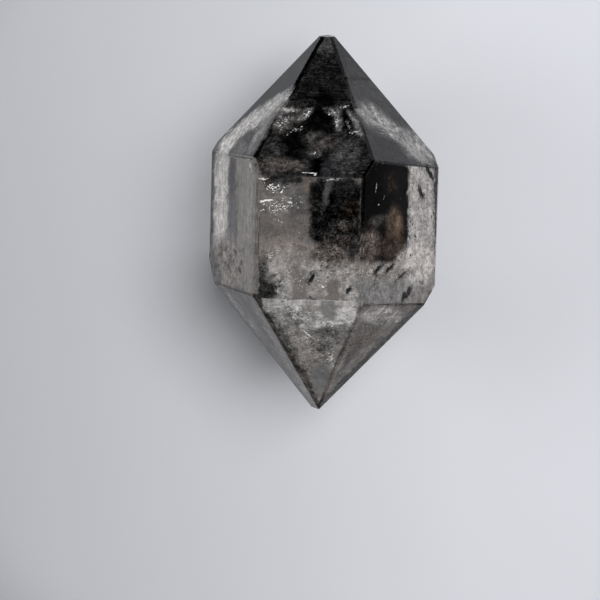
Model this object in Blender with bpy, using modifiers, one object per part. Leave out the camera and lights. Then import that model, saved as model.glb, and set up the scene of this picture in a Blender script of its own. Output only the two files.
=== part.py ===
"""A double-terminated quartz crystal: a six-sided prism of clear, smoky stone with a six-faced point
at each end, lying on one of its side faces. Metres, +Z up, the long axis along Y.

The crystal is cut from one block, a face at a time, so every face is truly flat. The origin is
under the middle of the crystal, on the surface that it lies on."""

import math

import bmesh
import bpy
from mathutils import Matrix, Vector

MM = 0.001

# The rough block that the faces are cut from, a cube with room to spare on every side.
BLOCK_SIDE = 60.0 * MM

# The side faces stand 60 degrees apart, as they do in every quartz crystal. Each has the way that
# it faces, in degrees up from level on the +X side, and its distance from the crystal's middle.
SIDE_FACES = {
    "upper": (90.0, 12.15 * MM),
    "upper_right": (30.0, 11.30 * MM),
    "lower_right": (-30.0, 10.95 * MM),
    "resting": (-90.0, 11.30 * MM),
    "lower_left": (-150.0, 11.45 * MM),
    "upper_left": (150.0, 10.95 * MM),
}

# The six faces of the +Y point. Each has the way that it faces, its slope to the long axis, close
# to the 38 degrees of quartz, and where its plane crosses the long axis, from the middle.
FAR_POINT_FACES = {
    "upper": (90.0, 40.0, 20.25 * MM),
    "upper_right": (26.5, 39.0, 20.95 * MM),
    "lower_right": (-30.0, 38.0, 21.95 * MM),
    "lower": (-90.0, 38.0, 23.75 * MM),
    "lower_left": (-149.5, 39.5, 22.55 * MM),
    "upper_left": (149.0, 38.0, 21.40 * MM),
}

# The six faces of the -Y point, in the same way.
NEAR_POINT_FACES = {
    "upper": (89.5, 37.5, 23.70 * MM),
    "upper_right": (32.0, 38.0, 22.90 * MM),
    "lower_right": (-28.5, 39.5, 20.05 * MM),
    "lower": (-90.0, 38.0, 21.60 * MM),
    "lower_left": (-150.0, 34.0, 21.55 * MM),
    "upper_left": (151.0, 37.5, 21.65 * MM),
}

# Each point is worn blunt by one small face, nearly square to the long axis.
FAR_TIP = (90.0, 80.0, 20.60 * MM)
NEAR_TIP = (90.0, 84.0, 21.00 * MM)

# Every edge is a little worn, rounded to this width.
EDGE_WEAR = 0.09 * MM
EDGE_WEAR_STEPS = 2

# The stone itself.
SMOKY_CLEAR = (0.60, 0.60, 0.61, 1.0)
POLISH_ROUGHNESS = 0.04
QUARTZ_IOR = 1.544


def remove_old_objects():
    for old in list(bpy.data.objects):
        bpy.data.objects.remove(old, do_unlink=True)


def new_collection(name):
    collection = bpy.data.collections.new(name)
    bpy.context.scene.collection.children.link(collection)
    return collection


def quartz_material():
    material = bpy.data.materials.new("smoky_clear_quartz")
    material.use_nodes = True
    shader = material.node_tree.nodes["Principled BSDF"]
    shader.inputs["Base Color"].default_value = SMOKY_CLEAR
    shader.inputs["Metallic"].default_value = 0.0
    shader.inputs["Roughness"].default_value = POLISH_ROUGHNESS
    shader.inputs["IOR"].default_value = QUARTZ_IOR
    shader.inputs["Transmission Weight"].default_value = 1.0
    material.diffuse_color = SMOKY_CLEAR
    return material


def face_normal(facing, slope, end):
    """The way out of a face: facing is measured around the long axis, slope is the angle between
    the face and that axis, and end is +1 or -1 for the point that the face leans towards."""
    around = math.radians(facing)
    tilt = math.radians(slope)
    return Vector((
        math.cos(around) * math.cos(tilt),
        end * math.sin(tilt),
        math.sin(around) * math.cos(tilt),
    ))


def cut_face(block, normal, distance):
    """Cuts away what lies outside the plane and closes the cut with one flat face."""
    everything = block.verts[:] + block.edges[:] + block.faces[:]
    cut = bmesh.ops.bisect_plane(
        block,
        geom=everything,
        plane_co=normal * distance,
        plane_no=normal,
        clear_outer=True,
    )
    rim = [item for item in cut["geom_cut"] if isinstance(item, bmesh.types.BMEdge)]
    bmesh.ops.contextual_create(block, geom=rim)


def cut_side_faces(block):
    for facing, distance in SIDE_FACES.values():
        cut_face(block, face_normal(facing, 0.0, 1.0), distance)


def cut_point(block, faces, tip, end):
    """One pointed end: its six faces, then the small blunt face across its tip."""
    for facing, slope, crossing in [*faces.values(), tip]:
        normal = face_normal(facing, slope, end)
        cut_face(block, normal, crossing * math.sin(math.radians(slope)))


def lay_on_surface(block):
    """Moves the crystal so that it rests at Z = 0, with its box centred over the origin."""
    corners = [corner.co for corner in block.verts]
    low = Vector([min(corner[axis] for corner in corners) for axis in range(3)])
    high = Vector([max(corner[axis] for corner in corners) for axis in range(3)])
    middle = (low + high) / 2.0
    bmesh.ops.translate(block, verts=block.verts, vec=(-middle.x, -middle.y, -low.z))


def crystal_mesh():
    block = bmesh.new()
    bmesh.ops.create_cube(block, size=BLOCK_SIDE, matrix=Matrix.Identity(4))
    cut_side_faces(block)
    cut_point(block, FAR_POINT_FACES, FAR_TIP, 1.0)
    cut_point(block, NEAR_POINT_FACES, NEAR_TIP, -1.0)
    lay_on_surface(block)
    bmesh.ops.recalc_face_normals(block, faces=block.faces)
    mesh = bpy.data.meshes.new("quartz_crystal")
    block.to_mesh(mesh)
    block.free()
    return mesh


def make_crystal(collection):
    crystal = bpy.data.objects.new("quartz_crystal", crystal_mesh())
    crystal.data.materials.append(quartz_material())
    collection.objects.link(crystal)
    wear = crystal.modifiers.new("worn_edges", "BEVEL")
    wear.width = EDGE_WEAR
    wear.segments = EDGE_WEAR_STEPS
    wear.limit_method = "NONE"
    wear.use_clamp_overlap = True
    return crystal


def main():
    remove_old_objects()
    make_crystal(new_collection("double_terminated_quartz"))


main()
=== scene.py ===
"""A double-terminated quartz crystal with dark and milky inclusions, lying on a pale floor.

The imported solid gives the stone's faces. This file gives it clear, faintly smoky quartz, fills it with
fine mineral flakes, and sets the floor, the soft light and the camera. It is laid out as an add-on and
run as a script. Sizes are in millimetres where a name ends in _MM, and in metres elsewhere."""

import math

import bmesh
import bpy
import numpy as np
from mathutils import Matrix, Vector


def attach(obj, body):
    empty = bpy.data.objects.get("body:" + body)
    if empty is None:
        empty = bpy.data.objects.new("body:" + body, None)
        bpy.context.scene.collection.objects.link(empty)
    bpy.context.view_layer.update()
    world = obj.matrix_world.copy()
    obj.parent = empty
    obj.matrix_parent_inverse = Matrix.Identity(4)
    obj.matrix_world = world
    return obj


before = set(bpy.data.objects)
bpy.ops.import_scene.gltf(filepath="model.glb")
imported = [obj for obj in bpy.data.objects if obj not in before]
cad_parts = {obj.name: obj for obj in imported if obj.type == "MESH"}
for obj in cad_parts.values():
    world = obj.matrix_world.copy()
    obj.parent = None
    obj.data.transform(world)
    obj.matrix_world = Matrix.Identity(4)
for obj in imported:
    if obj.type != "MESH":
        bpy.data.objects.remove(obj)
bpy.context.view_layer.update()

bl_info = {
    "name": "Quartz crystal with inclusions",
    "version": (1, 0, 0),
    "blender": (4, 5, 0),
    "location": "3D View > Sidebar > Quartz",
    "description": "Dresses a double-terminated quartz crystal and the stage it lies on",
    "category": "Object",
}

MM = 0.001
STONE_NODE = "quartz_crystal"
STONE_SLOT = "smoky_clear_quartz"

# The photograph's frame, and the place of the crystal's middle in it.
PICTURE_SIDE = 600
MM_PER_PIXEL = 0.112
MIDDLE_PIXEL = (322.7, 222.5)
MIDDLE_MM = (0.04, -0.07, 11.30)
CAMERA_DISTANCE_MM = 240.0
CAMERA_TURN = math.radians(8.3)
CAMERA_TIP = math.radians(5.5)
CAMERA_ROLL = math.radians(1.7)
SENSOR_WIDTH_MM = 36.0

# The pale middle of the floor, which fills the picture, and how far it reaches: a painted pool of light,
# with painted shade beyond it.
PALE_MIDDLE_MM = (-2.5, -8.5)
PALE_REACH_MM = 39.0
FADE_REACH_MM = 62.0
FADE_SQUARENESS = 4.0

# The floor lies a hair under the stone.
FLOOR_GAP_MM = 0.02

# The two soft lamps look at the stone's middle, and the room's light brightens towards both sides.
LIGHT_AIM_MM = 12.0
WHITE = (1.0, 1.0, 1.0)
KEY_PLACE = (0.21, 0.10, 0.36)
KEY_SIZE = (0.30, 0.30)
KEY_COLOUR = (0.98, 0.98, 1.0)
FILL_PLACE = (-0.45, 0.0, 0.17)
FILL_SIZE = (0.30, 0.25)
ROOM_SHADES = [(0.0, (0.18, 0.185, 0.2)), (0.35, (0.3, 0.31, 0.33)), (0.8, WHITE)]

# The way that each face named below looks, near enough to pick it out.
UPPER = (0.0, 0.0, 1.0)
UPPER_RIGHT = (0.87, 0.0, 0.5)
UPPER_LEFT = (-0.87, 0.0, 0.5)
FAR_UPPER = (0.0, 0.64, 0.77)
FAR_UPPER_RIGHT = (0.70, 0.63, 0.35)
FAR_UPPER_LEFT = (-0.68, 0.62, 0.41)
NEAR_UPPER = (0.0, -0.61, 0.79)
NEAR_UPPER_RIGHT = (0.67, -0.62, 0.42)
NEAR_UPPER_LEFT = (-0.69, -0.61, 0.38)
LOWER = (0.0, 0.0, -1.0)
LOWER_RIGHT = (0.87, 0.0, -0.5)
LOWER_LEFT = (-0.87, 0.0, -0.5)
FAR_LOWER = (0.0, 0.62, -0.79)
FAR_LOWER_RIGHT = (0.68, 0.62, -0.39)
FAR_LOWER_LEFT = (-0.66, 0.64, -0.39)
NEAR_LOWER = (0.0, -0.62, -0.79)
NEAR_LOWER_RIGHT = (0.68, -0.64, -0.37)
NEAR_LOWER_LEFT = (-0.72, -0.56, -0.41)

# How far inside the faces the flakes stay, and how deep the dark slivers lie, above the veils.
SKIN_MM = 0.25
CLUSTER_SKIN_MM = 0.15
SLIVER_DEPTH_MM = (0.16, 0.31)

# The veils' sheets: depth, thickness, ripple and grid. An upper sheet runs on to the rim's distance from
# the faces whose normals rise less than the rim's lean. The paint wanders by the wobble.
DARK_DEPTH_MM = 0.70
MILKY_DEPTH_MM = 0.35
SHEET_THICKNESS_MM = 0.03
DARK_RIPPLE_MM = 0.10
MILKY_RIPPLE_MM = 0.06
RIPPLE_GRAIN_MM = 6.0
UPPER_STEP_MM = 0.19
LOWER_STEP_MM = 0.6
RIM_MM = 0.12
RIM_LEAN = 0.3
WOBBLE_MM = 0.11
WOBBLE_GRAIN_MM = 1.6


def camera_frame():
    """The camera's right, up and back ways, and its place in millimetres."""
    back = Vector((math.tan(CAMERA_TURN), math.tan(CAMERA_TIP), 1.0)).normalized()
    level_up = (Vector((0.0, 1.0, 0.0)) - back * back.y).normalized()
    level_right = level_up.cross(back)
    up = level_up * math.cos(CAMERA_ROLL) - level_right * math.sin(CAMERA_ROLL)
    right = level_right * math.cos(CAMERA_ROLL) + level_up * math.sin(CAMERA_ROLL)
    aside, below = middle_offset()
    aim = Vector(MIDDLE_MM) - right * aside + up * below
    return right, up, back, aim + back * CAMERA_DISTANCE_MM


def middle_offset():
    """How far right of and below the picture's middle the crystal's middle shows."""
    return [(pixel - PICTURE_SIDE / 2.0) * MM_PER_PIXEL for pixel in MIDDLE_PIXEL]


# Settings that a user would change


def amount_setting(name, description, default, most=1.0):
    return bpy.props.FloatProperty(name=name, description=description, default=default, min=0.0, max=most)


def length_setting(name, description, default):
    return bpy.props.FloatProperty(
        name=name, description=description, default=default, unit="LENGTH", subtype="DISTANCE", precision=6
    )


def power_setting(name, description, default):
    return bpy.props.FloatProperty(name=name, description=description, default=default, unit="POWER")


def colour_setting(name, description, default):
    return bpy.props.FloatVectorProperty(
        name=name, description=description, default=default, subtype="COLOR", size=3, min=0.0, max=1.0
    )


class QuartzStone(bpy.types.PropertyGroup):
    """The clear stone."""

    ior: bpy.props.FloatProperty(
        name="Index of refraction",
        description="How strongly the stone bends light",
        default=1.544,
        min=1.0,
        max=3.0,
    )
    smoke: amount_setting("Smokiness", "Light taken up by the stone, per metre", 24.0, most=1000.0)
    smoke_colour: colour_setting("Smoke colour", "Colour that the stone lets through", (0.32, 0.18, 0.05))
    sheen: amount_setting("Sheen", "How much of a full polish's reflection the faces keep", 0.05)
    growth_lines: length_setting("Growth lines", "Height of the faint lines across the faces", 0.004 * MM)
    polish: amount_setting("Polish roughness", "Roughness of the faces", 0.0)


class QuartzFlakes(bpy.types.PropertyGroup):
    """The fine mineral flakes inside the stone."""

    dark_width: length_setting("Dark flake width", "Width of a typical flake of the dark cloud", 0.16 * MM)
    dark_thickness: length_setting("Dark flake thickness", "Thickness of such a flake", 0.05 * MM)
    seed: bpy.props.IntProperty(
        name="Seed",
        description="Starts every random draw",
        default=7,
    )


class QuartzStage(bpy.types.PropertyGroup):
    """Floor and light."""

    floor_side: length_setting("Floor side", "Side of the square floor", 3.0)
    floor_colour: colour_setting("Floor colour", "Pale cool grey of the floor", (0.68, 0.69, 0.715))
    # Painted shade: the floor is darker towards the left of the picture, where the light falls off.
    left_painted_shade: colour_setting(
        "Left painted shade", "What is left of the floor's colour at the left of the picture", (0.78, 0.78, 0.775)
    )
    # Painted shade: the floor greys away from the stone, round a painted pool of light.
    far_painted_shade: colour_setting(
        "Far painted shade", "What is left of the floor's colour away from the stone", (0.33, 0.33, 0.34)
    )
    key_power: power_setting("Key light", "Power of the large soft light on the right", 2.0)
    fill_power: power_setting("Fill light", "Power of the large soft light on the left", 1.0)
    room_glow: amount_setting("Room glow", "Strength of the even light from the room", 0.32, most=10.0)


# Small helpers


def settings():
    return bpy.context.scene.quartz


def new_tree_material(name):
    material = bpy.data.materials.new(name)
    material.use_nodes = True
    tree = material.node_tree
    shader = tree.nodes["Principled BSDF"]
    return material, tree, shader


def set_values(node, **values):
    """Values that name an input, with _ for a space, set it, and the others set properties."""
    for name, value in values.items():
        label = name.replace("_", " ")
        if label in node.inputs:
            node.inputs[label].default_value = value
        else:
            setattr(node, name, value)
    return node


def add_node(tree, kind, **values):
    return set_values(tree.nodes.new(kind), **values)


def colour_ramp(tree, value, stops, interpolation="LINEAR"):
    """The colour that a value from 0 to 1 picks."""
    node = tree.nodes.new("ShaderNodeValToRGB")
    ramp = node.color_ramp
    ramp.interpolation = interpolation
    for element, (place, colour) in zip(ramp.elements, (stops[0], stops[-1])):
        element.position = place
        element.color = (*colour, 1.0)
    for place, colour in stops[1:-1]:
        ramp.elements.new(place).color = (*colour, 1.0)
    tree.links.new(value, node.inputs["Fac"])
    return node.outputs["Color"]


def multiplied(tree, first, second):
    """Two colours, multiplied."""
    node = add_node(tree, "ShaderNodeMix", data_type="RGBA", blend_type="MULTIPLY")
    node.inputs["Factor"].default_value = 1.0
    tree.links.new(first, node.inputs["A"])
    tree.links.new(second, node.inputs["B"])
    return node.outputs["Result"]


def attribute_value(tree, name):
    node = add_node(tree, "ShaderNodeAttribute", attribute_name=name, attribute_type="GEOMETRY")
    return node.outputs["Fac"]


def maths(tree, operation, *values, clamp=False):
    """A Math node on sockets or plain numbers, and its result."""
    node = add_node(tree, "ShaderNodeMath", operation=operation, use_clamp=clamp)
    for socket, value in zip(node.inputs, values):
        if isinstance(value, (int, float)):
            socket.default_value = value
        else:
            tree.links.new(value, socket)
    return node.outputs[0]


def cloudy_noise(tree, grain_mm, detail, roughness, distortion=0.0):
    """Noise on the piece's own coordinates. grain_mm is one size, or one for each of X, Y and Z."""
    sizes = grain_mm if isinstance(grain_mm, tuple) else (grain_mm,) * 3
    place = tree.nodes.new("ShaderNodeTexCoord")
    stretch = add_node(tree, "ShaderNodeVectorMath", operation="MULTIPLY")
    stretch.inputs[1].default_value = [1.0 / (size * MM) for size in sizes]
    noise = add_node(
        tree, "ShaderNodeTexNoise", Scale=1.0, Detail=detail, Roughness=roughness, Distortion=distortion
    )
    tree.links.new(place.outputs["Object"], stretch.inputs[0])
    tree.links.new(stretch.outputs["Vector"], noise.inputs["Vector"])
    return noise.outputs["Fac"]


def blend_values(tree, share, first, second):
    """first where share is 0 and second where it is 1."""
    node = add_node(tree, "ShaderNodeMix", data_type="FLOAT")
    tree.links.new(share, node.inputs["Factor"])
    tree.links.new(first, node.inputs["A"])
    tree.links.new(second, node.inputs["B"])
    return node.outputs["Result"]


def add_to_scene(name, data):
    item = bpy.data.objects.new(name, data)
    bpy.context.scene.collection.objects.link(item)
    return item


def store_on_points(mesh, label, kind, values):
    """Stores one value, or one vector, for each of the mesh's points."""
    attribute = mesh.attributes.new(label, kind, "POINT")
    field = "vector" if kind == "FLOAT_VECTOR" else "value"
    attribute.data.foreach_set(field, np.asarray(values, np.float32).ravel())


# The stone's faces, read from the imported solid


class Face:
    """One large flat face of the stone, in millimetres."""

    def __init__(self, normal, corners):
        self.normal = np.array(normal)
        self.corners = np.array(corners)
        self.middle = self.corners.mean(0)
        self.distance = float(self.normal @ self.middle)


def read_faces(least_area_mm2=0.3, same_plane=math.radians(1.0)):
    """The stone's large faces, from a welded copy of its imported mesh."""
    solid = bmesh.new()
    solid.from_mesh(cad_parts[STONE_NODE].data)
    bmesh.ops.remove_doubles(solid, verts=solid.verts, dist=0.001 * MM)
    bmesh.ops.dissolve_limit(solid, angle_limit=same_plane, verts=solid.verts, edges=solid.edges)
    faces = [
        Face(face.normal, [corner.co / MM for corner in face.verts])
        for face in solid.faces
        if face.calc_area() > least_area_mm2 * MM * MM
    ]
    solid.free()
    return faces


STONE_FACES = read_faces()


def face_towards(way):
    way = np.array(way) / np.linalg.norm(way)
    return max(STONE_FACES, key=lambda face: float(face.normal @ way))


def inside(points, skin=SKIN_MM):
    """True for each point that lies at least skin below every face of the stone."""
    kept = np.ones(len(points), bool)
    for face in STONE_FACES:
        kept &= points @ face.normal < face.distance - skin
    return kept


# Where flakes lie


def drift(points, grain_mm, seed, octaves=4, waves=14, fading=0.65):
    """Smooth random cloudiness, about -1 to 1, with detail from grain_mm downwards: a sum of waves
    that run every way, in octaves that each have half the length and fading times the height."""
    draws = np.random.default_rng(seed)
    total = np.zeros(len(points))
    height = 1.0
    energy = 0.0
    for octave in range(octaves):
        ways = draws.normal(size=(waves, 3))
        ways /= np.linalg.norm(ways, axis=1, keepdims=True)
        ways *= draws.uniform(0.7, 1.4, size=(waves, 1)) * 2.0 * math.pi / grain_mm * 2.0 ** octave
        starts = draws.uniform(0.0, 2.0 * math.pi, size=waves)
        total += height * np.sin(points @ ways.T + starts).sum(1) / math.sqrt(waves / 2.0)
        energy += height * height
        height *= fading
    return total / math.sqrt(energy) * 0.7


def lump_points(draws, middle, half, count, boxiness=2.0):
    """Points spread through a lump: an ellipsoid at boxiness 2, and nearer a box above that."""
    tried = draws.uniform(-1.0, 1.0, size=(count * 3, 3))
    reach = (np.abs(tried) ** boxiness).sum(1)
    tried = tried[reach < 1.0][:count]
    return tried * np.array(half) + np.array(middle)


def layer_points(draws, face, count, depth_from, depth_to):
    """Points spread under a face, between two depths."""
    corners = face.corners
    sides = [(corners[0], corners[i], corners[i + 1]) for i in range(1, len(corners) - 1)]
    areas = np.array([np.linalg.norm(np.cross(b - a, c - a)) for a, b, c in sides])
    chosen = draws.choice(len(sides), size=count, p=areas / areas.sum())
    corner_sets = np.array(sides)[chosen]
    u = np.sqrt(draws.uniform(size=(count, 1)))
    v = draws.uniform(size=(count, 1))
    flat = (
        corner_sets[:, 0] * (1.0 - u)
        + corner_sets[:, 1] * u * (1.0 - v)
        + corner_sets[:, 2] * u * v
    )
    depths = draws.uniform(depth_from, depth_to, size=(count, 1))
    return flat - depths * face.normal


def thinned(draws, points, grain_mm, seed, fill, softness=0.35):
    """Drops points where the cloud is thin. fill is the share of the cloud that is dense."""
    density = drift(points, grain_mm, seed)
    edge = float(np.quantile(density, 1.0 - fill))
    chance = np.clip((density - edge) / softness + 0.5, 0.0, 1.0)
    return points[draws.uniform(size=len(points)) < chance]


# Veils: thin curved sheets under the faces


def inner_sight(face):
    """The way the camera's sight goes once it has bent in through a face, or straight on where the
    face looks away from the camera."""
    back = np.array(camera_frame()[2])
    bend = 1.0 / settings().stone.ior
    leaning = float(face.normal @ back)
    if leaning <= 0.0:
        return -back
    steady = math.sqrt(1.0 - bend * bend * (1.0 - leaning * leaning))
    return -bend * back + (bend * leaning - steady) * face.normal


def seen_at(points, face):
    """Where points under a face show in the picture, in millimetres right of and above the
    crystal's middle. The line of sight bends as it goes in through the face."""
    right, up, back, place = [np.array(item) for item in camera_frame()]
    inner = inner_sight(face)
    depth = face.distance - points @ face.normal
    entry = points + np.outer(depth / (inner @ face.normal), inner) * float(face.normal @ back > 0.0)
    sight = entry - place
    reach = -(sight @ back)
    aside, below = middle_offset()
    across = CAMERA_DISTANCE_MM * (sight @ right) / reach - aside
    above = CAMERA_DISTANCE_MM * (sight @ up) / reach + below
    return across, above


def placed_under(face, across, above, depths):
    """Points at these depths under a face that show at these places of the picture."""
    right, up, back, place = [np.array(item) for item in camera_frame()]
    aside, below = middle_offset()
    sight = (
        np.outer((across + aside) / CAMERA_DISTANCE_MM, right)
        + np.outer((above - below) / CAMERA_DISTANCE_MM, up)
        - back
    )
    reach = (face.distance - face.normal @ place) / (sight @ face.normal)
    entry = place + sight * reach[:, None]
    inner = inner_sight(face)
    return entry - np.outer(depths / (inner @ face.normal), inner)


def cut_sheet(face, depth, step):
    """An open grid at this depth under a face, cut where the neighbouring faces are as near. An
    upper sheet runs on almost to the faces that look down, so that it fills the outline."""
    reach = max(np.linalg.norm(corner - face.middle) for corner in face.corners) + 2.0
    segments = int(2.0 * reach / step)
    turned = Vector(face.normal).to_track_quat("Z", "Y").to_matrix().to_4x4()
    place = Matrix.Translation(Vector(face.middle - depth * face.normal)) @ turned
    sheet = bmesh.new()
    bmesh.ops.create_grid(sheet, x_segments=segments, y_segments=segments, size=reach, matrix=place)
    for other in STONE_FACES:
        if other is face:
            continue
        gap = RIM_MM if face.normal[2] > 0.0 and other.normal[2] < RIM_LEAN else depth
        bmesh.ops.bisect_plane(
            sheet,
            geom=sheet.verts[:] + sheet.edges[:] + sheet.faces[:],
            plane_co=Vector(other.normal * (other.distance - gap)),
            plane_no=Vector(other.normal),
            clear_outer=True,
        )
    return sheet


def thin_slab(sheet, normal, ripple_mm, seed):
    """Corners and polygons of a closed slab on an open grid, gently rippled along its normal."""
    sheet.verts.index_update()
    flat = np.array([corner.co for corner in sheet.verts])
    middle = flat + ripple_mm * drift(flat, RIPPLE_GRAIN_MM, seed)[:, None] * normal
    half = normal * SHEET_THICKNESS_MM / 2.0
    corners = np.vstack([middle + half, middle - half])
    count = len(flat)
    polygons = []
    for polygon in sheet.faces:
        ring = [corner.index for corner in polygon.verts]
        if polygon.normal @ Vector(normal) < 0.0:
            ring.reverse()
        polygons.append(ring)
        polygons.append([index + count for index in reversed(ring)])
        open_edges = [edge for edge in polygon.edges if edge.is_boundary]
        rim = {frozenset(corner.index for corner in edge.verts) for edge in open_edges}
        for start, end in zip(ring, ring[1:] + ring[:1]):
            if frozenset((start, end)) in rim:
                polygons.append([end, start, start + count, end + count])
    return corners, polygons


class Patch:
    """A soft-edged patch of a veil, where the picture shows it: its middle in millimetres right
    of and above the crystal's middle, its half width and height, and its turn in degrees.
    dense is how much light it stops and tone how light it is, from 0 black to 1 white: mostly the grains'
    own colour, and in some patches painted shade or painted highlight.
    grain is how mottled it is, warm runs from -1 bluish to 1 brown, along and cross draw its
    mottling out along or across the crystal, wisp adds pale threads, soft is the softness of the
    edge and box its squareness (2 is an ellipse)."""

    def __init__(self, at, half, dense, tone, grain=1.0, turn=0.0, warm=0.0, along=0.0, cross=0.0,
                 wisp=0.0, soft=0.35, box=2.0):
        self.at = at
        self.half = half
        self.turn = math.radians(turn)
        self.soft = soft
        self.box = box
        self.paint = {
            "dense": dense,
            "tone": tone,
            "grain": grain,
            "warm": warm,
            "along": along,
            "cross": cross,
            "wisp": wisp,
        }

    def share(self, across, above):
        """How much of the patch is at each place, from 0 to 1."""
        x = across - self.at[0]
        y = above - self.at[1]
        along = (x * math.cos(self.turn) + y * math.sin(self.turn)) / self.half[0]
        over = (y * math.cos(self.turn) - x * math.sin(self.turn)) / self.half[1]
        reach = (np.abs(along) ** self.box + np.abs(over) ** self.box) ** (1.0 / self.box)
        step = np.clip((1.0 + self.soft - reach) / (2.0 * self.soft), 0.0, 1.0)
        return step * step * (3.0 - 2.0 * step)


def whole(dense, tone, **more):
    """A patch that covers its whole face, painted first."""
    return Patch((0.0, 0.0), (60.0, 60.0), dense, tone, **more)


# Dark veils, mostly inclusions; some patches are painted shade or painted highlight, marked where they
# stand.
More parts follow.
